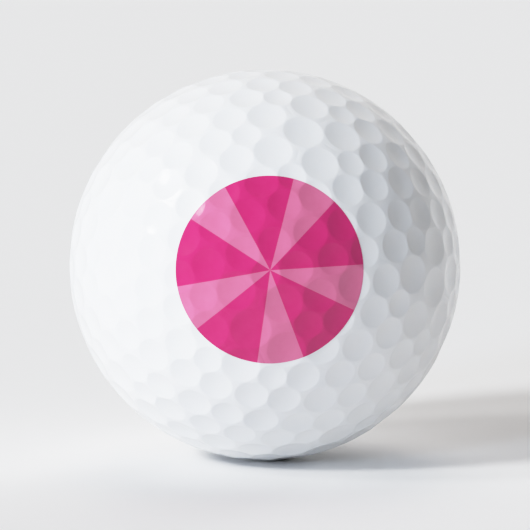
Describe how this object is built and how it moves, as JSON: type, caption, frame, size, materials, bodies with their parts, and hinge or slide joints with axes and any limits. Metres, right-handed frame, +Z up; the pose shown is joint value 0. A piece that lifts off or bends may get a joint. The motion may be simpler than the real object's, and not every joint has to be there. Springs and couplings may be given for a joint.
{
  "type": "golf ball",
  "caption": "White dimpled ball of three nested layers, with a round two-tone pink wedge print on one side.",
  "frame": {"origin": "centre of the ball", "axes": "+Z up as the ball rests, -Y towards the side that carries the print, +X to the right as seen from the print"},
  "size_m": [0.0426, 0.0427, 0.0426],
  "materials": {
    "core_rubber": "matt compression-moulded rubber",
    "mantle_ionomer": "matt moulded ionomer",
    "cover_white": "gloss clear coat on white",
    "ink_dark_pink": "gloss printed ink",
    "ink_light_pink": "gloss printed ink"
  },
  "bodies": {
    "root": {"core": "core_rubber", "mantle": "mantle_ionomer", "cover": "cover_white", "print_dark_1": "ink_dark_pink", "print_dark_2": "ink_dark_pink", "print_dark_3": "ink_dark_pink", "print_dark_4": "ink_dark_pink", "print_dark_5": "ink_dark_pink", "print_light_1": "ink_light_pink", "print_light_2": "ink_light_pink", "print_light_3": "ink_light_pink", "print_light_4": "ink_light_pink", "print_light_5": "ink_light_pink"}
  },
  "joints": []
}
